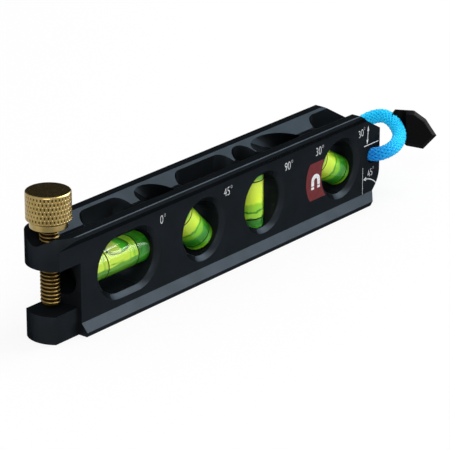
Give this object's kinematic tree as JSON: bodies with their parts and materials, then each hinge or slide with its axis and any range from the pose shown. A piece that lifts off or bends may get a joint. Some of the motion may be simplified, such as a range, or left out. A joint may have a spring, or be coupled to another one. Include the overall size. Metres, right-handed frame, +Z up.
{
  "type": "pocket spirit level",
  "caption": "Slim metal pocket spirit level with a V groove, tilt vials in round windows, a brass thumb screw clamp at one end and a cord lanyard at the sloped nose.",
  "frame": {"origin": "on the base, on the centre line, under the shoulder where the clamp's gap begins", "axes": "+X along the level from the clamp to the nose, +Y across it, +Z up from the base"},
  "size_m": [0.1949, 0.0299, 0.0485],
  "materials": {
    "body_metal": "black anodised, satin",
    "brass": "turned and knurled",
    "vial_clear": "clear acrylic",
    "vial_plug": "clear acrylic, tinted by the fluid",
    "vial_fluid": "tinted fluid",
    "bubble": "air",
    "magnet": "nickel plated",
    "cord": "braided",
    "tag": "satin",
    "marking": "printed ink",
    "badge": "printed ink"
  },
  "bodies": {
    "level": {"body": "body_metal", "vial_0_barrel": "vial_clear", "vial_0_plug": "vial_plug", "vial_0_fluid": "vial_fluid", "vial_0_bubble": "bubble", "vial_45_barrel": "vial_clear", "vial_45_plug": "vial_plug", "vial_45_fluid": "vial_fluid", "vial_45_bubble": "bubble", "vial_90_barrel": "vial_clear", "vial_90_plug": "vial_plug", "vial_90_fluid": "vial_fluid", "vial_90_bubble": "bubble", "vial_30_barrel": "vial_clear", "vial_30_plug": "vial_plug", "vial_30_fluid": "vial_fluid", "vial_30_bubble": "bubble", "magnets": "magnet", "lanyard_cord": "cord", "cord_tag": "tag"},
    "screw": {"thumb_screw": "brass"}
  },
  "joints": [
    {"name": "thumb_screw_slide", "type": "slide", "parent": "level", "child": "screw", "axis": [0, 0, 1], "range_m": [-0.0015, 0.013]}
  ]
}
